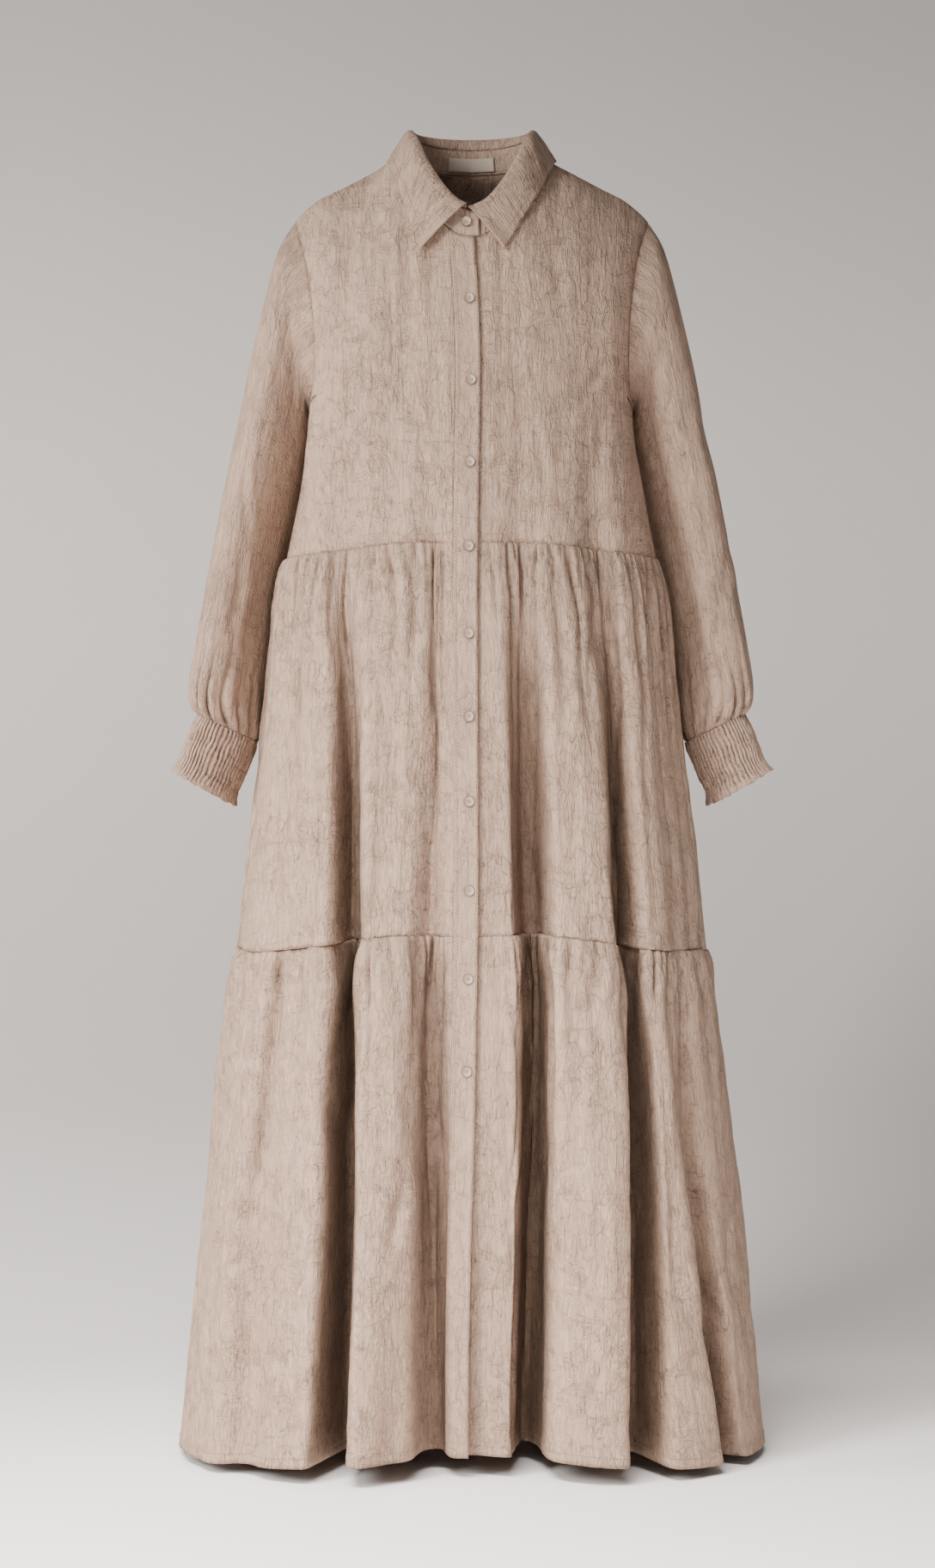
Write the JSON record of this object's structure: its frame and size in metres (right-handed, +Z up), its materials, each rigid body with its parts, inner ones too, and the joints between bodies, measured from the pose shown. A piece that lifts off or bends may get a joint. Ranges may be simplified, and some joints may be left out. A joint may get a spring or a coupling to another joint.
{
  "type": "long-sleeved tiered shirt dress",
  "caption": "Long linen shirt dress with a collar, a full-length buttoned placket, bishop sleeves with shirred cuffs and gathered tiers, hollow and open as worn",
  "frame": {"origin": "midway between the shoulders, at the height where the shoulder seams meet the collar", "axes": "+Z up along the dress, -Y out of its front, +X to the wearer's left"},
  "size_m": [0.666, 0.4033, 1.45],
  "materials": {
    "linen": "matte woven linen",
    "button": "satin",
    "label": "matte woven tape"
  },
  "bodies": {
    "root": {"bodice_front_right": "linen", "bodice_front_left": "linen", "bodice_back": "linen", "tier_middle_front_right": "linen", "tier_middle_front_left": "linen", "tier_middle_back": "linen", "tier_lower_front_right": "linen", "tier_lower_front_left": "linen", "tier_lower_back": "linen", "placket_right": "linen", "placket_left": "linen", "collar_stand": "linen", "collar_leaf": "linen", "sleeve_right": "linen", "sleeve_left": "linen", "cuff_right": "linen", "cuff_left": "linen", "button_01": "button", "button_02": "button", "button_03": "button", "button_04": "button", "button_05": "button", "button_06": "button", "button_07": "button", "button_08": "button", "button_09": "button", "button_10": "button", "button_11": "button", "neck_label": "label"}
  },
  "joints": []
}
